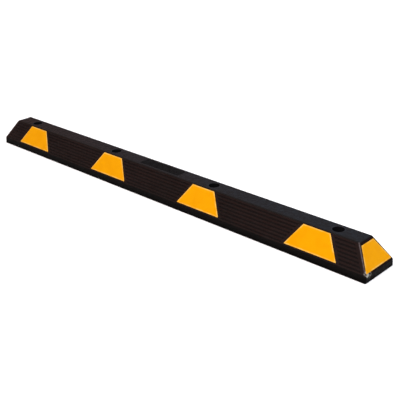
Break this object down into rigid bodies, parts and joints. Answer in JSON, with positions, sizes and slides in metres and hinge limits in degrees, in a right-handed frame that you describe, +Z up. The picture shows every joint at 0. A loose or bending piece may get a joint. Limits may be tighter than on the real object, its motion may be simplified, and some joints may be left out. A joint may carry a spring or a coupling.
{
  "type": "parking wheel stop",
  "caption": "Rubber bar with sloped sides and yellow reflective panels, anchored to the ground to stop a vehicle's wheels.",
  "frame": {"origin": "middle of the flat base, on the ground", "axes": "+X along the bar, +Y across it towards the rear slope, +Z up from the ground"},
  "size_m": [1.83, 0.15, 0.1],
  "materials": {
    "moulded_rubber": "matt moulded rubber with a fine crumb grain",
    "reflective_sheet": "yellow reflective sheeting under a clear face",
    "zinc_steel": "bright zinc plating"
  },
  "bodies": {
    "root": {"rubber_body": "moulded_rubber", "front_reflector_1": "reflective_sheet", "front_reflector_2": "reflective_sheet", "front_reflector_3": "reflective_sheet", "front_reflector_4": "reflective_sheet", "rear_reflector_1": "reflective_sheet", "rear_reflector_2": "reflective_sheet", "rear_reflector_3": "reflective_sheet", "rear_reflector_4": "reflective_sheet", "right_end_reflector": "reflective_sheet", "left_end_reflector": "reflective_sheet", "anchor_washer_1": "zinc_steel", "anchor_washer_2": "zinc_steel", "anchor_washer_3": "zinc_steel", "anchor_washer_4": "zinc_steel"}
  },
  "joints": []
}
